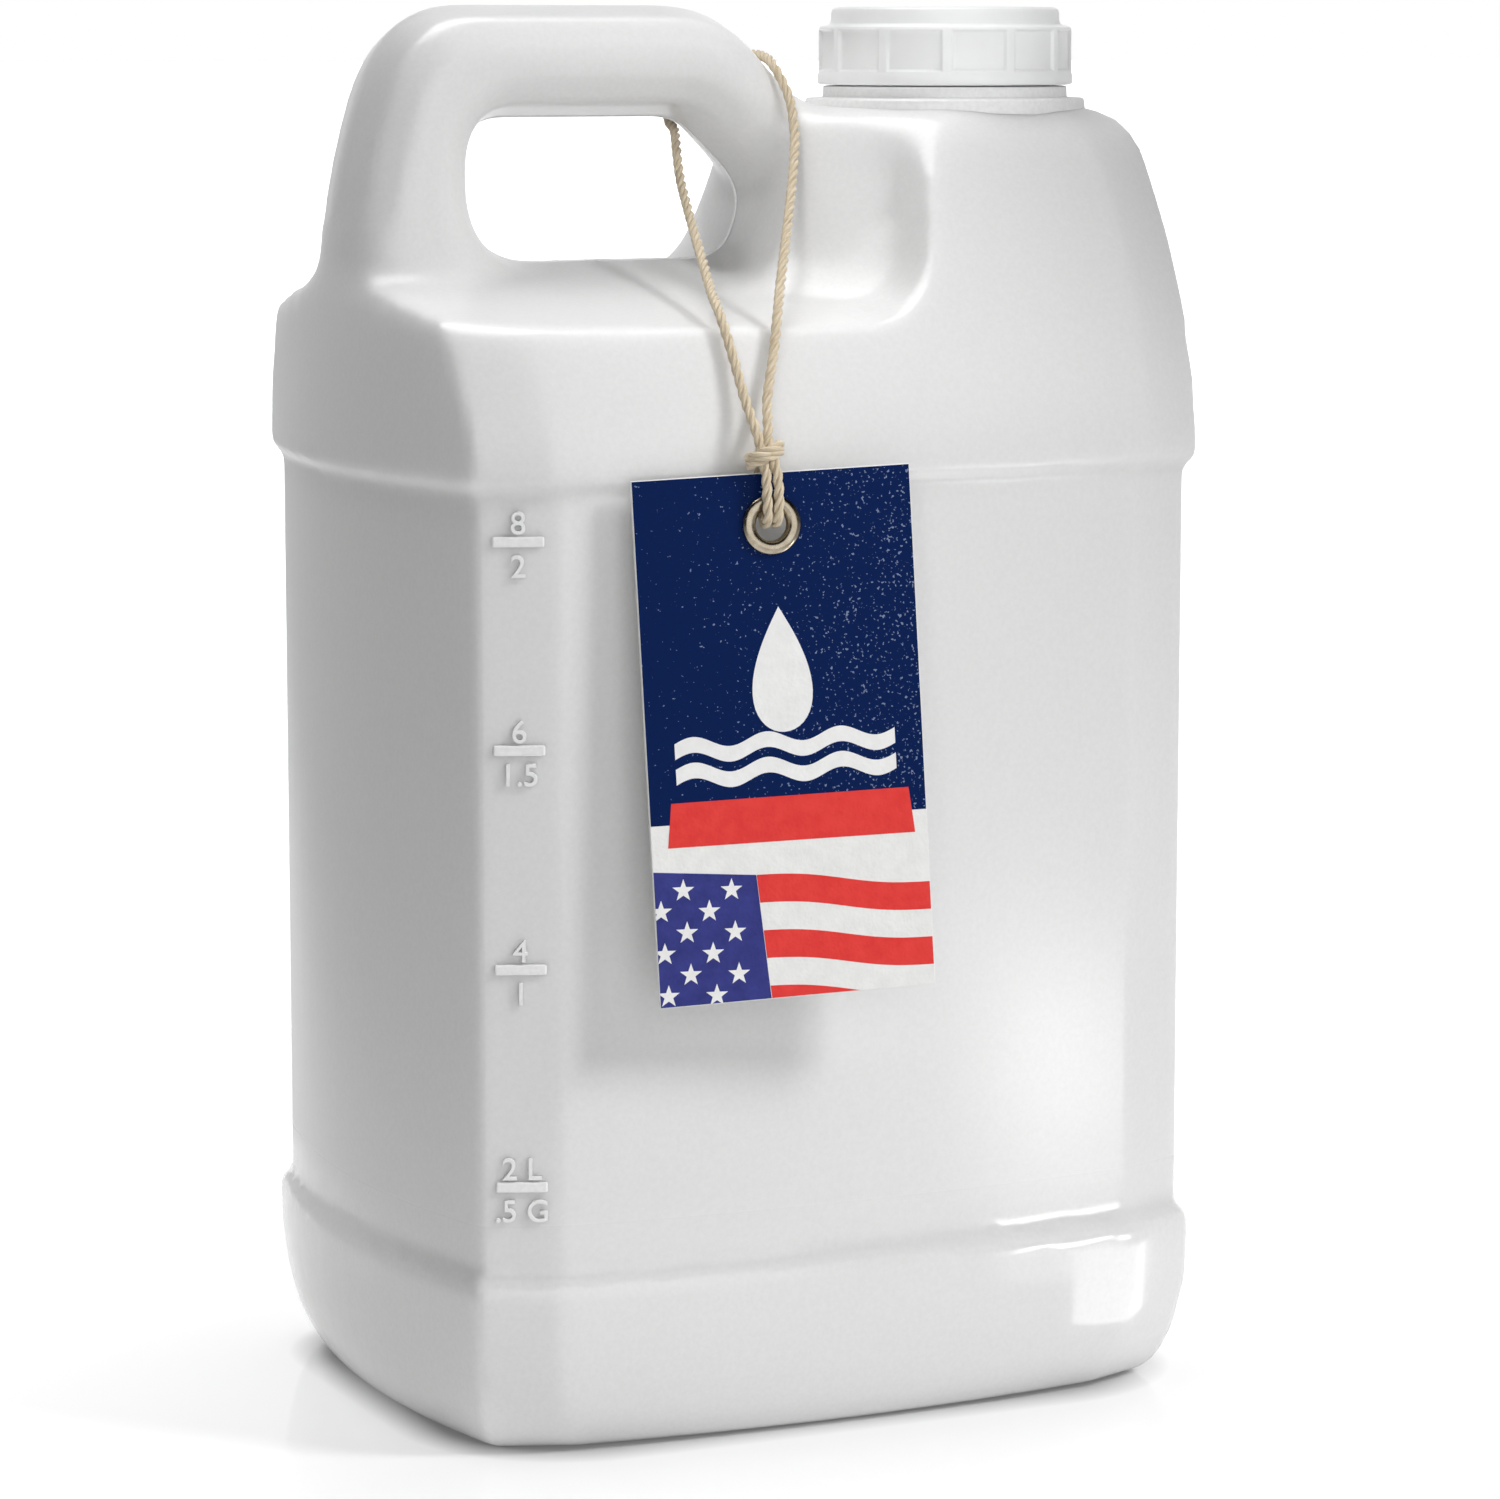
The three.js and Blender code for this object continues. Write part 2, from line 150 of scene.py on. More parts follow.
def ramp_between(ramp, *stops):
    """Sets a colour ramp's stops from (place, hex colour) pairs."""
    elements = ramp.color_ramp.elements
    while len(elements) < len(stops):
        elements.new(1)
    for element, (place, code) in zip(elements, stops):
        element.position = place
        element.color = linear(code)


def rise(value, start, end):
    """0 up to the start, 1 from the end on."""
    return min(1, max(0, (value - start) / (end - start)))


jug = copy_of_solid("jug", "jug_shell")

# The neck comes off here, because the voxels would round it; it is a piece of its own below
bpy.ops.mesh.primitive_cylinder_add(
    vertices=96,
    radius=NECK_CUT_RADIUS,
    depth=NECK_CUT_HEIGHT,
    location=(NECK_X, 0, NECK_CUT_FOOT + NECK_CUT_HEIGHT / 2),
)
neck_cut = bpy.context.object
apply_modifier(jug, "BOOLEAN", operation="DIFFERENCE", object=neck_cut, solver="EXACT")
bpy.data.objects.remove(neck_cut)
apply_modifier(jug, "REMESH", mode="VOXEL", voxel_size=VOXEL, use_smooth_shade=True)

# The handle's leg spreads in a long sweep, its strut and the brow over the hand room melt into the
# shoulder, and the rest of the top keeps its bevels
soft = jug.vertex_groups.new(name="soft")
blend = jug.vertex_groups.new(name="blend")
for vertex in jug.data.vertices:
    x, y, z = vertex.co / MM
    leg_root = rise(-x, 45, 60) * rise(-z, -322, -308)
    strut_root = rise(x, -10, 2) * rise(-x, -28, -16) * rise(z, 298, 310) * rise(-z, -348, -338)
    brow = rise(x, 2, 12) * rise(-x, -48, -38) * rise(z, 328, 338)
    soft.add([vertex.index], rise(z, 266, 290) * max(BEVEL_SOFTNESS, leg_root), "REPLACE")
    blend.add([vertex.index], max(strut_root, brow), "REPLACE")
apply_modifier(jug, "SMOOTH", factor=0.5, iterations=EVEN_PASSES)
apply_modifier(jug, "SMOOTH", factor=0.5, iterations=SOFT_PASSES, vertex_group="soft")
apply_modifier(jug, "SMOOTH", factor=0.5, iterations=BLEND_PASSES, vertex_group="blend")
jug.vertex_groups.clear()

# Natural HDPE, blow-moulded against a fine-blasted mould: milky and a little see-through, so light
# spreads under the skin, with a satin gloss broken by a grain of about a millimetre. The foot, where the
# mould was polished, is glossier and has next to no grain
POLISHED_UP_TO = 50 * MM
BLASTED_FROM = 62 * MM
natural_hdpe = new_material("natural_hdpe")
place = add_node(natural_hdpe, "TexCoord")
grain = add_node(
    natural_hdpe, "TexNoise", Vector=place.outputs["Object"], Scale=1 / (1.3 * MM), Detail=2, Roughness=0.55
)
tone = add_node(natural_hdpe, "ValToRGB", Fac=grain.outputs["Fac"])
ramp_between(tone, (0.3, "#e0e0e0"), (0.7, "#e4e4e4"))
height = add_node(natural_hdpe, "SeparateXYZ", Vector=place.outputs["Object"])
from_foot = {"Value": height.outputs["Z"], "From_Min": POLISHED_UP_TO, "From_Max": BLASTED_FROM}
satin = add_node(natural_hdpe, "MapRange", **from_foot, To_Min=0.1, To_Max=0.28)
blasted = add_node(natural_hdpe, "MapRange", **from_foot, To_Min=0.02, To_Max=0.22)
skin = add_node(
    natural_hdpe,
    "Bump",
    Height=grain.outputs["Fac"],
    Strength=blasted.outputs["Result"],
    Distance=0.08 * MM,
)
shade(
    natural_hdpe,
    add_node(
        natural_hdpe,
        "BsdfPrincipled",
        Base_Color=tone.outputs["Color"],
        Roughness=satin.outputs["Result"],
        IOR=1.54,
        Subsurface_Weight=1.0,
        Subsurface_Radius=(1.0, 1.0, 1.0),
        Subsurface_Scale=5 * MM,
        Normal=skin.outputs["Normal"],
    ),
)
dress(jug, natural_hdpe, "natural_hdpe", "jug")

# Grip rim: the thin bead left round the grip where the two mould halves met and the web between them
# was trimmed out.
RIM_RADIUS = 0.5 * MM

only(jug)
bpy.ops.object.duplicate()
rim = bpy.context.object
rim.name = "grip_rim"
bpy.ops.object.mode_set(mode="EDIT")
bpy.ops.mesh.select_all(action="SELECT")
bpy.ops.mesh.bisect(plane_co=(0, 0, 0), plane_no=(0, 1, 0), clear_inner=True, clear_outer=True)
bpy.ops.mesh.select_mode(type="VERT")
bpy.ops.mesh.select_all(action="DESELECT")
bpy.ops.object.mode_set(mode="OBJECT")
for vertex in rim.data.vertices:
    x, y, z = vertex.co / MM
    vertex.select = not (-85 < x < 12 and 296 < z < 350)
bpy.ops.object.mode_set(mode="EDIT")
bpy.ops.mesh.delete(type="VERT")
bpy.ops.object.mode_set(mode="OBJECT")
bpy.ops.object.convert(target="CURVE")
rim.data.bevel_depth = RIM_RADIUS
rim.data.bevel_resolution = 1
bpy.ops.object.convert(target="MESH")
bpy.ops.object.shade_smooth()

# The same plastic where it is too thin to scatter light: a plain satin white, a shade lighter than the body
# Painted light: the lighter tone stands in for light on the grip rim, the level marks and the collar
thin_hdpe_painted_light = new_material("thin_natural_hdpe_painted_light")
place = add_node(thin_hdpe_painted_light, "TexCoord")
grain = add_node(thin_hdpe_painted_light, "TexNoise", Vector=place.outputs["Object"], Scale=1 / (1.3 * MM), Detail=2)
tone = add_node(thin_hdpe_painted_light, "ValToRGB", Fac=grain.outputs["Fac"])
ramp_between(tone, (0.3, "#eaeaea"), (0.7, "#f2f2f2"))
shade(
    thin_hdpe_painted_light,
    add_node(thin_hdpe_painted_light, "BsdfPrincipled", Base_Color=tone.outputs["Color"], Roughness=0.36, IOR=1.54),
)
dress(rim, thin_hdpe_painted_light, "natural_hdpe")

# Level scale: bars with plain figures, moulded a little over half a millimetre proud on the narrow facet
# beside the front. Each bar has a figure above it and one below.
FACET_MIDDLE = Vector((-92.1, -76.1, 0)) * MM
FACET_TURN = math.radians(-22.1)
MARK_PROUD = 0.62 * MM
BAR_WIDTH = 13.2 * MM
BAR_HEIGHT = 2.7 * MM
FIGURE_SIZE = 8.1 * MM
FIGURE_ABOVE = 2.0 * MM
FIGURE_BELOW = 2.5 * MM
FIGURE_BEVEL = 0.12 * MM
FIGURE_THINNER = 0.04 * MM
LEVELS = [(237.7, "8", "2"), (184.7, "6", "1.5"), (128.4, "4", "1"), (71.9, "2 L", ".5 G")]


def join(name, pieces):
    only(*pieces)
    bpy.ops.object.join()
    made = bpy.context.object
    made.name = name
    bpy.ops.object.transform_apply()
    return made


marks = []
for height, above, below in LEVELS:
    middle = FACET_MIDDLE + Vector((0, 0, height * MM))
    bpy.ops.mesh.primitive_cube_add(size=1, location=middle)
    bar = bpy.context.object
    bar.scale = (BAR_WIDTH, 2 * MARK_PROUD, BAR_HEIGHT)
    bar.rotation_euler.z = FACET_TURN
    bpy.ops.object.transform_apply()
    apply_modifier(bar, "BEVEL", width=0.5 * MM, segments=3)
    marks.append(bar)
    for figure, lift, align in ((above, FIGURE_ABOVE, "BOTTOM_BASELINE"), (below, -FIGURE_BELOW, "TOP")):
        bpy.ops.object.text_add(
            location=middle + Vector((0, 0, lift)), rotation=(math.pi / 2, 0, FACET_TURN)
        )
        text = bpy.context.object
        text.data.body = figure
        text.data.size = FIGURE_SIZE
        text.data.align_x = "CENTER"
        text.data.align_y = align
        text.data.extrude = MARK_PROUD - FIGURE_BEVEL
        text.data.bevel_depth = FIGURE_BEVEL
        text.data.offset = -FIGURE_THINNER
        bpy.ops.object.convert(target="MESH")
        marks.append(bpy.context.object)
scale_marks = join("level_scale", marks)
dress(scale_marks, thin_hdpe_painted_light, "natural_hdpe")

# Neck: the round boss on the shoulder and the short collar that the cap screws down on, the sharpest
# part of the moulding.
COLLAR = [
    (38.9, 336.0), (38.5, 343.6), (38.3, 346.2), (38.0, 346.8), (37.4, 347.0), (34.0, 347.1), (33.5, 347.4),
    (33.4, 350.0), (32.6, 350.2),
]


def turned(name, profile, sides):
    """A round piece on the neck's axis, drawn up ring by ring from (radius, height) in millimetres."""
    radius, height = profile[0]
    bpy.ops.mesh.primitive_circle_add(
        vertices=sides, radius=radius * MM, fill_type="NGON", location=(NECK_X, 0, height * MM)
    )
    bpy.ops.object.transform_apply()
    piece = bpy.context.object
    piece.name = name
    bpy.ops.object.mode_set(mode="EDIT")
    bpy.ops.mesh.select_all(action="SELECT")
    for wider, higher in profile[1:]:
        lift = (0, 0, (higher - height) * MM)
        bpy.ops.mesh.extrude_region_move(TRANSFORM_OT_translate={"value": lift})
        grow = wider / radius
        bpy.ops.transform.resize(value=(grow, grow, 1), center_override=(NECK_X, 0, higher * MM))
        radius, height = wider, higher
    bpy.ops.mesh.select_all(action="SELECT")
    bpy.ops.mesh.normals_make_consistent(inside=False)
    bpy.ops.object.mode_set(mode="OBJECT")
    return piece


collar = turned("neck_collar", COLLAR, 120)
only(collar)
bpy.ops.object.shade_smooth_by_angle(angle=math.radians(50))
dress(collar, thin_hdpe_painted_light, "natural_hdpe")

# Cap: injection-moulded white polypropylene, screwed on. A plain ring at its foot, a skirt with raised
# grip ribs round sunk panels, and a narrower crown with a rounded edge.
CAP = [
    (34.3, 350.5), (34.9, 350.8), (35.0, 351.3), (35.0, 353.1), (34.7, 353.7), (34.6, 354.2),
    (34.6, 365.4), (34.2, 366.1), (33.5, 366.4), (32.2, 366.6), (31.6, 367.0), (31.3, 367.8),
    (31.2, 369.9), (30.9, 370.8), (30.2, 371.3), (29.2, 371.5), (24.0, 371.5),
]
CAP_RIBS = 12
CAP_RIB_TURN = 4.4
CAP_RIB_HALF_ANGLE = 2.2
CAP_FACETS = 180
PANEL_FOOT = 354.5 * MM
PANEL_TOP = 365 * MM
PANEL_DEPTH = 0.9 * MM
PANEL_EDGE = 0.55 * MM


def select_faces(piece, wanted):
    """Goes to edit mode with just the faces selected whose centre passes the test."""
    only(piece)
    bpy.ops.object.mode_set(mode="EDIT")
    bpy.ops.mesh.select_mode(type="FACE")
    bpy.ops.mesh.select_all(action="DESELECT")
    bpy.ops.object.mode_set(mode="OBJECT")
    for face in piece.data.polygons:
        face.select = wanted(face.center)
    bpy.ops.object.mode_set(mode="EDIT")


def on_panel(centre):
    """Whether a spot on the skirt lies between two ribs."""
    turn = math.degrees(math.atan2(centre.y, centre.x - NECK_X)) - CAP_RIB_TURN
    pitch = 360 / CAP_RIBS
    from_rib = abs((turn + pitch / 2) % pitch - pitch / 2)
    return PANEL_FOOT < centre.z < PANEL_TOP and from_rib > CAP_RIB_HALF_ANGLE


cap = turned("screw_cap", CAP, CAP_FACETS)
select_faces(cap, on_panel)
bpy.ops.mesh.inset(thickness=PANEL_EDGE, depth=-PANEL_DEPTH)
bpy.ops.object.mode_set(mode="OBJECT")
apply_modifier(cap, "BEVEL", width=0.22 * MM, segments=2, limit_method="ANGLE", angle_limit=math.radians(38))
bpy.ops.object.shade_smooth_by_angle(angle=math.radians(35))

# Polypropylene, injection-moulded: opaque bright white with a smooth, moderately glossy skin and the
# faint unevenness of a cooled moulding
white_polypropylene = new_material("white_polypropylene")
place = add_node(white_polypropylene, "TexCoord")
flow = add_node(white_polypropylene, "TexNoise", Vector=place.outputs["Object"], Scale=1 / (9 * MM), Detail=2)
tone = add_node(white_polypropylene, "ValToRGB", Fac=flow.outputs["Fac"])
ramp_between(tone, (0.3, "#f5f6f6"), (0.7, "#fafbfb"))
skin = add_node(white_polypropylene, "Bump", Height=flow.outputs["Fac"], Strength=0.12, Distance=0.15 * MM)
shade(
    white_polypropylene,
    add_node(
        white_polypropylene,
        "BsdfPrincipled",
        Base_Color=tone.outputs["Color"],
        Roughness=0.28,
        IOR=1.49,
        Subsurface_Weight=0.2,
        Subsurface_Radius=(1.0, 1.0, 1.0),
        Subsurface_Scale=2 * MM,
        Normal=skin.outputs["Normal"],
    ),
)
dress(cap, white_polypropylene, "white_cap", "cap")

# Tag: a stiff white card with a grained laminate over its printed front, cut square. It hangs a little
# askew in front of the panel.
TAG_CENTRE = Vector((-28.1, -97.5, 187.6)) * MM
TAG_TURN = Matrix.Rotation(math.radians(-10), 4, "Z") @ Matrix.Rotation(math.radians(-3), 4, "X")
TAG_PLACE = Matrix.Translation(TAG_CENTRE) @ TAG_TURN @ Matrix.Rotation(math.radians(-2.4), 4, "Y")
TAG_WIDTH = 73
TAG_HEIGHT = 134
TAG_THICKNESS = 1.2

tag = copy_of_solid("tag", "tag_card")
apply_modifier(tag, "BEVEL", width=0.18 * MM, segments=2, limit_method="ANGLE", angle_limit=math.radians(40))


def laminate(name, dark, light, gloss, sheen=0.12, glint=None):
    """Printed card under a film embossed with a pebbled grain about a millimetre across; the ink is a
    shade uneven. The glints on the pebbles are too fine to render as gloss, so they are drawn as pale
    flecks, coarser than they are, which thicken towards the right."""
    material = new_material(name)
    place = add_node(material, "TexCoord")
    pebble = add_node(
        material, "TexVoronoi", {"feature": "SMOOTH_F1"}, Vector=place.outputs["Object"], Scale=1 / (1.0 * MM)
    )
    stipple = add_node(material, "TexNoise", Vector=place.outputs["Object"], Scale=1 / (0.6 * MM), Detail=3)
    relief = add_node(
        material, "Math", {"operation": "ADD"}, [pebble.outputs["Distance"], stipple.outputs["Fac"]]
    )
    film = add_node(material, "Bump", Height=relief.outputs[0], Strength=0.35, Distance=0.2 * MM)
    mottle = add_node(material, "TexNoise", Vector=place.outputs["Object"], Scale=1 / (4 * MM), Detail=4)
    ink = add_node(material, "ValToRGB", Fac=mottle.outputs["Fac"])
    ramp_between(ink, (0.3, dark), (0.7, light))
    if glint:
        # Painted highlight: pale flecks in the ink stand in for the glints on the pebbles, more of them to
        # the right
        across = add_node(material, "SeparateXYZ", Vector=place.outputs["Object"])
        limit = add_node(
            material,
            "MapRange",
            Value=across.outputs["X"],
            From_Min=-62 * MM,
            From_Max=6 * MM,
            To_Min=0.7,
            To_Max=0.615,
        )
        crumb = add_node(material, "TexNoise", Vector=place.outputs["Object"], Scale=1 / (0.8 * MM), Detail=2)
        over = add_node(
            material, "Math", {"operation": "SUBTRACT"}, [crumb.outputs["Fac"], limit.outputs["Result"]]
        )
        painted_glint = add_node(material, "MapRange", Value=over.outputs[0], From_Max=0.04, To_Min=0.7, To_Max=1)
        plain = add_node(
            material,
            "MapRange",
            Value=mottle.outputs["Fac"],
            From_Min=0.3,
            From_Max=0.7,
            To_Min=0.3,
            To_Max=0.7,
        )
        either = add_node(
            material, "Math", {"operation": "MAXIMUM"}, [plain.outputs["Result"], painted_glint.outputs["Result"]]
        )
        material.node_tree.links.new(either.outputs[0], ink.inputs["Fac"])
        ramp_between(ink, (0.3, dark), (0.7, light), (0.75, light), (1.0, glint))
    shade(
        material,
        add_node(
            material,
            "BsdfPrincipled",
            Base_Color=ink.outputs["Color"],
            Roughness=gloss,
            IOR=1.5,
            Specular_IOR_Level=sheen,
            Normal=film.outputs["Normal"],
        ),
    )
    return material


white_card = laminate("white_laminated_card", "#e6e6e4", "#eeeeec", 0.45)
dress(tag, white_card, "printed_card", "tag")

# Print on the tag: flat fields of ink, each a hair thicker than the one under it. A navy field with a
# drop over waves in white, a slanted red band, and a block of stars and stripes along the foot.
INK = 0.04


def printed(outline, layer):
    """A flat shape on the tag's front, from its corners in millimetres from the tag's middle."""
    bpy.ops.mesh.primitive_circle_add(vertices=len(outline), fill_type="NGON")
    piece = bpy.context.object
    front = -(TAG_THICKNESS / 2 + INK * layer)
    for vertex, (x, z) in zip(piece.data.vertices, outline):
        vertex.co = Vector((x, front, z)) * MM
    bpy.ops.object.mode_set(mode="EDIT")
    bpy.ops.mesh.select_all(action="SELECT")
    bpy.ops.mesh.extrude_region_move(TRANSFORM_OT_translate={"value": (0, -INK * MM, 0)})
    bpy.ops.mesh.select_all(action="SELECT")
    bpy.ops.mesh.normals_make_consistent(inside=False)
    bpy.ops.object.mode_set(mode="OBJECT")
    return piece


def trim(piece, *planes):
    """Cuts a shape off at planes given by a point on the tag and the direction that goes."""
    only(piece)
    bpy.ops.object.mode_set(mode="EDIT")
    for (x, z), (right, up) in planes:
        bpy.ops.mesh.select_all(action="SELECT")
        bpy.ops.mesh.bisect(
            plane_co=(x * MM, 0, z * MM), plane_no=(right, 0, up), clear_outer=True, use_fill=True
        )
    bpy.ops.object.mode_set(mode="OBJECT")


def on_tag(name, pieces, material):
    """Joins shapes drawn on the tag's front and hangs them with the tag."""
    made = join(name, pieces)
    made.matrix_world = TAG_PLACE
    bpy.ops.object.transform_apply()
    dress(made, material, "printed_card")


EDGE_X = TAG_WIDTH / 2 - 0.2
EDGE_Z = TAG_HEIGHT / 2 - 0.2
EYELET = (-0.6, 53.8)
EYELET_HOLE = 5.9

navy_field = printed([(-EDGE_X, EDGE_Z), (-EDGE_X, -20.4), (EDGE_X, -21.6), (EDGE_X, EDGE_Z)], 0)
bpy.ops.mesh.primitive_cylinder_add(
    vertices=48, radius=EYELET_HOLE * MM, depth=4 * MM, rotation=(math.pi / 2, 0, 0)
)
punch = bpy.context.object
punch.location = Vector((EYELET[0], 0, EYELET[1])) * MM
apply_modifier(navy_field, "BOOLEAN", operation="DIFFERENCE", object=punch, solver="EXACT")
bpy.data.objects.remove(punch)
on_tag("navy_print", [navy_field], laminate("navy_laminate", "#06163a", "#0a2050", 0.3, 0.03, "#7886a6"))

drop = []
for step in range(48):
    turn = 2 * math.pi * step / 48
    drop.append((10.5 * math.sin(turn) * math.sin(turn / 2) ** 1.1, 16 * math.cos(turn) + 17))
motif = [printed(drop, 1)]
for height in (-2.0, -8.5):
    half, steps = 29, 60
    crest = []
    for i in range(steps + 1):
        crest.append((half * (2 * i / steps - 1), height + 1.5 * math.sin(i / steps * 6 * math.pi)))
    wave = [(x, z + 2.0) for x, z in crest] + [(x, z - 2.0) for x, z in reversed(crest)]
    motif.append(printed(wave, 1))
on_tag("drop_and_waves_print", motif, laminate("white_ink", "#e8e8e7", "#f0f0ef", 0.42))

red_ink = laminate("red_ink", "#dd3a37", "#e6443f", 0.38)
band = printed([(-30.7, -15.0), (-32.1, -26.3), (33.1, -27.3), (31.9, -15.6)], 1)
on_tag("red_band_print", [band], red_ink)


def stripe_edge(x, number):
    """Height of a stripe's edge: the block falls a little to the right in a slow wave."""
    along = (x + 9.5) / 46
    return -34.9 - 7.15 * number - 5.4 * along + 0.7 * math.sin(along * 2 * math.pi)


stripes = []
for number in (0, 2, 4):
    places = [-9.4 + 45.7 * i / 24 for i in range(25)]
    upper = [(x, stripe_edge(x, number)) for x in places]
    lower = [(x, stripe_edge(x, number + 1)) for x in places]
    stripe = printed(upper + lower[::-1], 0)
    trim(stripe, ((0, -EDGE_Z), (0, -1)), ((-9.4, -34.9), (-0.997, -0.074)))
    stripes.append(stripe)
on_tag("stripes_print", stripes, red_ink)

canton = printed([(-EDGE_X, -32.1), (-EDGE_X, -EDGE_Z), (-7.2, -EDGE_Z), (-9.5, -34.9)], 0)
on_tag("blue_block_print", [canton], laminate("blue_ink", "#333778", "#3c4189", 0.38, 0.08))

STAR_RADIUS = 3.0
stars = []
for row in range(7):
    for column in range(4):
        x = -41.4 + 12.6 * column + (6.3 if row % 2 else 0) + 0.2 * row
        z = -36.9 - 5.4 * row - 0.06 * (x + 36.5)
        if x > -11.8:
            continue
        points = []
        for corner in range(10):
            radius = STAR_RADIUS * (0.4 if corner % 2 else 1)
            turn = math.pi * corner / 5 + 0.05
            points.append((x + radius * math.sin(turn), z + radius * math.cos(turn)))
        star = printed(points, 1)
        trim(star, ((-EDGE_X, 0), (-1, 0)), ((0, -EDGE_Z), (0, -1)))
        stars.append(star)
on_tag("stars_print", stars, bpy.data.materials["white_ink"])

# Eyelet: a nickel-plated brass ring pressed through the card and rolled over on both faces, which leaves
# a round bead on each.
ROLL_RADIUS = 5.95
ROLL_HALF_WIDTH = 1.75
ROLL_HALF_HEIGHT = 1.15

rings = []
for face in (-1, 1):
    bpy.ops.mesh.primitive_torus_add(
        major_segments=72, minor_segments=20, major_radius=ROLL_RADIUS * MM, minor_radius=ROLL_HALF_WIDTH * MM
    )
    roll = bpy.context.object
    roll.scale.z = ROLL_HALF_HEIGHT / ROLL_HALF_WIDTH
    roll.rotation_euler.x = math.pi / 2
    roll.location = Vector((EYELET[0], face * (TAG_THICKNESS / 2 + 0.35), EYELET[1])) * MM
    rings.append(roll)
eyelet = join("eyelet_ring", rings)
eyelet.matrix_world = TAG_PLACE
bpy.ops.object.transform_apply()
bpy.ops.object.shade_smooth()

# Nickel plate on pressed brass: a warm grey metal, bright where it curves, a little dulled by handling
nickel_plate = new_material("nickel_plate")
place = add_node(nickel_plate, "TexCoord")
wear = add_node(nickel_plate, "TexNoise", Vector=place.outputs["Object"], Scale=1 / (1.6 * MM), Detail=5)
dulling = add_node(
    nickel_plate, "MapRange", Value=wear.outputs["Fac"], From_Min=0.3, From_Max=0.7, To_Min=0.16, To_Max=0.3
)
tone = add_node(nickel_plate, "ValToRGB", Fac=wear.outputs["Fac"])
ramp_between(tone, (0.3, "#a99d88"), (0.7, "#c2b8a6"))
shade(
    nickel_plate,
    add_node(
        nickel_plate,
        "BsdfPrincipled",
        Base_Color=tone.outputs["Color"],
        Metallic=1.0,
        Roughness=dulling.outputs["Result"],
    ),
)
dress(eyelet, nickel_plate, "nickel", "eyelet")

# Twine: three plies of natural jute laid together. One loop goes from the knot up over the shoulder,
# through the grip, round the handle's strut and down again.
TWINE_RADIUS = 1.4 * MM
PLY_RADIUS = 0.72 * MM
LAY_LENGTH = 10.5 * MM
TWINE_ROUTE = [
    (-32.9, -94.6, 258.8), (-33.9, -93.2, 264.6), (-34.6, -87.6, 272.8), (-35.1, -81.4, 283.2),
    (-35.5, -74.5, 293.3), (-32.4, -62.5, 298), (-28.4, -48.5, 304.6), (-24.9, -35.5, 311.6),
    (-21.8, -23.5, 318.6), (-19, -12.5, 326), (-16.1, -3.5, 333.6), (-13.2, 4.5, 338.6),
    (-11, 13.1, 340.8), (-7.7, 21.1, 345.6), (-2.2, 23.2, 351.2), (3.2, 20.6, 354.4),
    (6.7, 13.2, 357.5), (9, 3, 358.7), (8.1, -7.6, 358), (7.2, -15.5, 355.4),
    (8.6, -21.4, 347.9), (7.7, -27, 339.2), (4.3, -34, 331.3), (-1.7, -44.5, 321.1),
    (-8.8, -56.5, 310), (-15.2, -67.2, 299.9), (-19.7, -75.3, 293.5), (-23.8, -81.6, 283.5),
    (-28.2, -87.4, 272.9), (-30.7, -93.2, 264.6), (-31.6, -94.6, 258.8),
]


def smooth_line(route, step):
    """Evenly spaced points on a smooth curve through the route's points."""
    ends = [route[0] * 2 - route[1], *route, route[-1] * 2 - route[-2]]
    dense = []
    for a, b, c, d in zip(ends, ends[1:], ends[2:], ends[3:]):
        for i in range(12):
            t = i / 12
            bend = (2 * a - 5 * b + 4 * c - d) * t**2 + (3 * b - 3 * c + d - a) * t**3
            dense.append(0.5 * (2 * b + (c - a) * t + bend))
    dense.append(route[-1])
    line = [dense[0]]
    ahead = 0
    for start, end in zip(dense, dense[1:]):
        span = (end - start).length
        while ahead + step <= span:
            ahead += step
            line.append(start.lerp(end, ahead / span))
        ahead -= span
    if (line[-1] - dense[-1]).length > 0.3 * step:
        line.append(dense[-1])
    return line


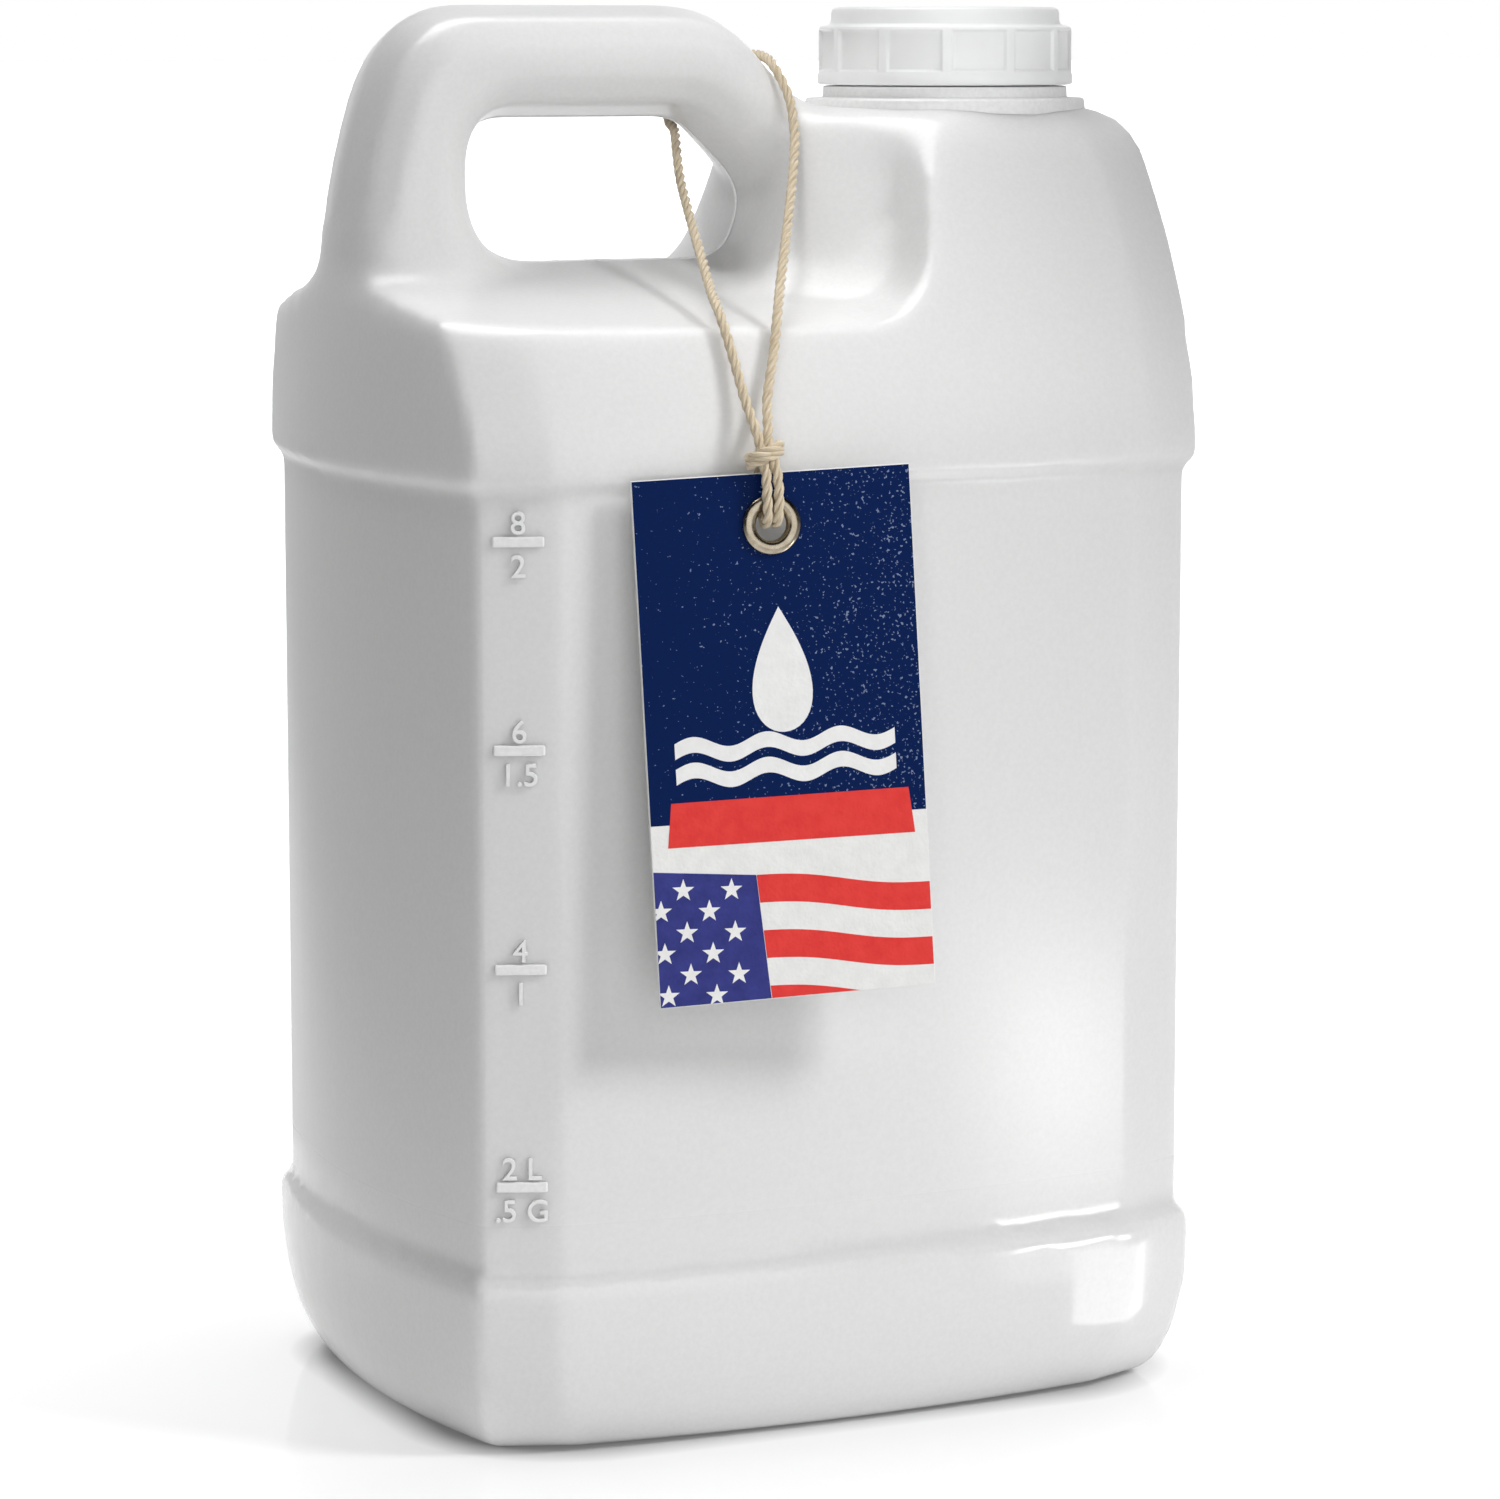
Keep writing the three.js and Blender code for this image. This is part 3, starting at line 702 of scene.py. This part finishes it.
def laid_rope(name, lines, ply_radius, heart, lay):
    """Three plies twisted round each line, each a closed tube with U round it and V along it."""
    sides = 8
    points, faces, coords = [], [], []
    for line in lines:
        along = (line[1] - line[0]).normalized()
        side = along.orthogonal().normalized()
        frames = []
        for i, point in enumerate(line):
            ahead = (line[min(i + 1, len(line) - 1)] - line[max(i - 1, 0)]).normalized()
            side = (side - ahead * side.dot(ahead)).normalized()
            frames.append((point, side, ahead.cross(side)))
        spacing = (line[1] - line[0]).length
        for ply in range(3):
            first = len(points)
            for i, (point, across, over) in enumerate(frames):
                twist = 2 * math.pi * (ply / 3 + i * spacing / lay)
                outward = across * math.cos(twist) + over * math.sin(twist)
                sideways = over * math.cos(twist) - across * math.sin(twist)
                for k in range(sides):
                    turn = 2 * math.pi * k / sides
                    out, aside = heart + ply_radius * math.cos(turn), ply_radius * math.sin(turn)
                    points.append(point + outward * out + sideways * aside)
            for i in range(len(frames) - 1):
                for k in range(sides):
                    a, b = first + i * sides + k, first + i * sides + (k + 1) % sides
                    faces.append((a, b, b + sides, a + sides))
                    left, right = k / sides, (k + 1) / sides
                    low, high = i * spacing, (i + 1) * spacing
                    coords += [(left, low), (right, low), (right, high), (left, high)]
            last = first + (len(frames) - 1) * sides
            faces.append(tuple(first + k for k in reversed(range(sides))))
            faces.append(tuple(last + k for k in range(sides)))
            coords += [(0, 0)] * (2 * sides)
    mesh = bpy.data.meshes.new(name)
    mesh.from_pydata(points, [], faces)
    layer = mesh.uv_layers.new(name="strand")
    for loop, uv in zip(layer.data, coords):
        loop.uv = uv
    piece = bpy.data.objects.new(name, mesh)
    bpy.context.collection.objects.link(piece)
    only(piece)
    bpy.ops.object.mode_set(mode="EDIT")
    bpy.ops.mesh.select_all(action="SELECT")
    bpy.ops.mesh.normals_make_consistent(inside=False)
    bpy.ops.object.mode_set(mode="OBJECT")
    bpy.ops.object.shade_smooth()
    return piece


twine_line = smooth_line([Vector(point) * MM for point in TWINE_ROUTE], 0.9 * MM)
twine = laid_rope("twine_loop", [twine_line], PLY_RADIUS, TWINE_RADIUS - PLY_RADIUS, LAY_LENGTH)

# Jute, spun and laid: dry and matt, straw-coloured fibres that run along each ply, some darker
jute = new_material("natural_jute")
strand = add_node(jute, "UVMap", {"uv_map": "strand"})
stretch = add_node(jute, "Mapping", Vector=strand.outputs["UV"], Scale=(9, 260, 1))
fibre = add_node(jute, "TexNoise", Vector=stretch.outputs["Vector"], Scale=1.0, Detail=4, Roughness=0.65)
tone = add_node(jute, "ValToRGB", Fac=fibre.outputs["Fac"])
ramp_between(tone, (0.25, "#b09c7f"), (0.5, "#d2c3a8"), (0.75, "#e6dbc6"))
fuzz = add_node(jute, "Bump", Height=fibre.outputs["Fac"], Strength=0.6, Distance=0.15 * MM)
shade(
    jute,
    add_node(
        jute,
        "BsdfPrincipled",
        Base_Color=tone.outputs["Color"],
        Roughness=0.85,
        IOR=1.5,
        Sheen_Weight=0.25,
        Normal=fuzz.outputs["Normal"],
    ),
)
dress(twine, jute, "jute", "twine")

# Knot: an overhand knot drawn tight on the tag's upper edge. Two strands leave it, go down in front of
# the card, through the eyelet and up again behind.
KNOT_Z = TAG_HEIGHT / 2 + 4.4
strands = []
for side in (-1, 1):
    x = EYELET[0] + side * 1.35
    path = [
        (x - 0.9, -1.2, KNOT_Z + 2), (x - 0.5, -2.6, KNOT_Z - 1), (x + side * 0.1, -3.6, KNOT_Z - 5),
        (x + side * 0.2, -3.8, EYELET[1] + 7), (x, -2.9, EYELET[1] + 2.4), (x, -0.6, EYELET[1] + 0.2),
        (x, 1.8, EYELET[1] + 1.2), (x, 3.7, EYELET[1] + 6), (x, 3.8, KNOT_Z - 5), (x, 1.6, KNOT_Z - 0.5),
    ]
    strands.append(path)
wrap = []
for i in range(33):
    turn = 2 * math.pi * (i / 32 * 1.9) + 2.4
    climb = KNOT_Z - 1.5 + 3.0 * i / 32 + 1.1 * math.sin(turn)
    wrap.append((EYELET[0] - 0.9 + 4.0 * math.sin(turn), -1.0 - 3.2 * math.cos(turn), climb))
strands.append(wrap)
knot_lines = []
for path in strands:
    knot_lines.append(smooth_line([TAG_PLACE @ (Vector(point) * MM) for point in path], 0.7 * MM))
knot = laid_rope("twine_knot", knot_lines, PLY_RADIUS, TWINE_RADIUS - PLY_RADIUS, LAY_LENGTH)
dress(knot, jute, "jute", "knot")

# Floor and light: a wide white floor, glowing so that it stays white. Close to the jug the glow is dimmed,
# a painted shadow at the foot and painted shade round it, where the real soft shadow and faint mirror image
# show. A broad front fill, a top light, a key from the upper right flagged off the right shoulder, a spot on
# the handle and two cards whose mirror images show low on the right.
FOOT_CORE = (64.5 * MM, 38.3 * MM, 0)
bpy.ops.mesh.primitive_plane_add(size=120, location=(0, 0, -0.0002))
floor = bpy.context.object
floor.name = "floor"
floor_white = new_material("floor_white")
place = add_node(floor_white, "TexCoord")
spot = place.outputs["Object"]
away = add_node(floor_white, "VectorMath", {"operation": "DOT_PRODUCT"}, [spot, (0.41, 0.91, 0)])
right_edge = add_node(floor_white, "VectorMath", {"operation": "DOT_PRODUCT"}, [spot, (0.96, -0.28, 0)])
left_edge = add_node(floor_white, "VectorMath", {"operation": "DOT_PRODUCT"}, [spot, (-0.84, 0.55, 0)])
folded = add_node(floor_white, "VectorMath", {"operation": "ABSOLUTE"}, [spot])
beyond = add_node(floor_white, "VectorMath", {"operation": "SUBTRACT"}, [folded.outputs["Vector"], FOOT_CORE])
clear = add_node(floor_white, "VectorMath", {"operation": "MAXIMUM"}, [beyond.outputs["Vector"]])
painted_shadow_reach = add_node(floor_white, "VectorMath", {"operation": "LENGTH"}, [clear.outputs["Vector"]])
sweep = add_node(
    floor_white, "MapRange", Value=away.outputs["Value"], From_Min=-0.1, From_Max=0.9, To_Min=0.5, To_Max=1.0
)
lit = sweep.outputs["Result"]
# Dimmed at the sides for less bounce on the jug's ends, and round the foot as painted shadow and shade
for distance, start, end, least in (
    (right_edge, -0.5, -0.22, 0.25),
    (left_edge, -0.5, -0.22, 0.4),
    (painted_shadow_reach, 36 * MM, 48 * MM, 0.15),
    (painted_shadow_reach, 46 * MM, 150 * MM, 0.82),
):
    dimmed = add_node(
        floor_white,
        "MapRange",
        Value=distance.outputs["Value"],
        From_Min=start,
        From_Max=end,
        To_Min=least,
        To_Max=1.0,
    )
    lit = add_node(floor_white, "Math", {"operation": "MULTIPLY"}, [lit, dimmed.outputs["Result"]]).outputs[0]
shade(
    floor_white,
    add_node(
        floor_white,
        "BsdfPrincipled",
        Base_Color=linear("#c8c8c8"),
        Roughness=0.08,
        IOR=1.4,
        Emission_Color=(1, 1, 1, 1),
        Emission_Strength=lit,
    ),
)
floor.data.materials.append(floor_white)


def softbox(name, place, target, size, power):
    bpy.ops.object.light_add(type="AREA", location=place)
    lamp = bpy.context.object
    lamp.name = name
    lamp.data.shape = "RECTANGLE"
    lamp.data.size, lamp.data.size_y = size
    lamp.data.energy = power
    lamp.rotation_euler = (Vector(target) - Vector(place)).to_track_quat("-Z", "Y").to_euler()


softbox("fill_softbox", (-0.3, -1.8, 0.45), (0, 0, 0.2), (2.2, 1.8), 14.5)
softbox("top_softbox", (-0.15, 0.2, 1.5), (0, 0, 0.2), (1.0, 0.8), 11.5)


def spotlight(name, place, target, angle, softness, power):
    """A spotlight with a soft edge that adds light but no highlight."""
    bpy.ops.object.light_add(type="SPOT", location=place)
    lamp = bpy.context.object
    lamp.name = name
    lamp.data.spot_size = math.radians(angle)
    lamp.data.spot_blend = 1
    lamp.data.shadow_soft_size = softness
    lamp.data.energy = power
    lamp.rotation_euler = (Vector(target) - Vector(place)).to_track_quat("-Z", "Y").to_euler()
    lamp.visible_glossy = False


spotlight("key_spot", (0.95, -0.95, 1.2), (-0.03, -0.09, 0.15), 28, 0.22, 88)
spotlight("handle_spot", (-0.75, -1.1, 0.8), (0.035, -0.03, 0.365), 14, 0.12, 20)
bpy.ops.mesh.primitive_plane_add(size=1, location=(0.57, -0.28, 0.69))
flag = bpy.context.object
flag.name = "key_flag"
flag.scale = (0.46, 0.3, 1)
flag.rotation_euler = (math.radians(60), 0, 0)
bpy.ops.object.transform_apply()
flag.visible_camera = False
flag.visible_diffuse = False
flag.visible_glossy = False
softbox("glow_card", (0.245, -0.31, 0.036), (0.0587, -0.0824, 0.0935), (0.084, 0.06), 0.13)
bpy.context.object.visible_diffuse = False
bpy.ops.mesh.primitive_plane_add(size=1)
card = bpy.context.object
card.name = "low_card"
CARD_CORNERS = [(0.083, -0.102), (0.165, -0.2105), (0.1187, -0.0846), (0.238, -0.1275)]
for vertex, (x, y) in zip(card.data.vertices, CARD_CORNERS):
    vertex.co = (x, y, 0.004)
card_white = new_material("card_white")
shade(card_white, add_node(card_white, "Emission", Strength=4.5))
card.data.materials.append(card_white)
card.visible_camera = False
card.visible_diffuse = False
card.visible_shadow = False

world = bpy.data.worlds.new("studio")
world.use_nodes = True
bpy.context.scene.world = world
toward = add_node(world, "TexCoord").outputs["Generated"]
behind = add_node(world, "VectorMath", {"operation": "DOT_PRODUCT"}, [toward, (0.41, 0.91, 0)])
height = add_node(world, "SeparateXYZ", Vector=toward)
backdrop = add_node(
    world, "MapRange", Value=behind.outputs["Value"], From_Min=0.2, From_Max=0.6, To_Min=0.05, To_Max=0.9
)
fade = add_node(
    world, "MapRange", Value=height.outputs["Z"], From_Min=0.25, From_Max=0.5, To_Min=1, To_Max=0.15
)
glow = add_node(
    world, "Math", {"operation": "MULTIPLY"}, [backdrop.outputs["Result"], fade.outputs["Result"]]
)
seen = add_node(world, "LightPath")
level = add_node(world, "Math", {"operation": "MAXIMUM"}, [glow.outputs[0], seen.outputs["Is Camera Ray"]])
sky = world.node_tree.nodes["Background"]
sky.inputs["Color"].default_value = (1, 1, 1, 1)
world.node_tree.links.new(level.outputs[0], sky.inputs["Strength"])
bpy.context.scene.view_settings.view_transform = "Standard"
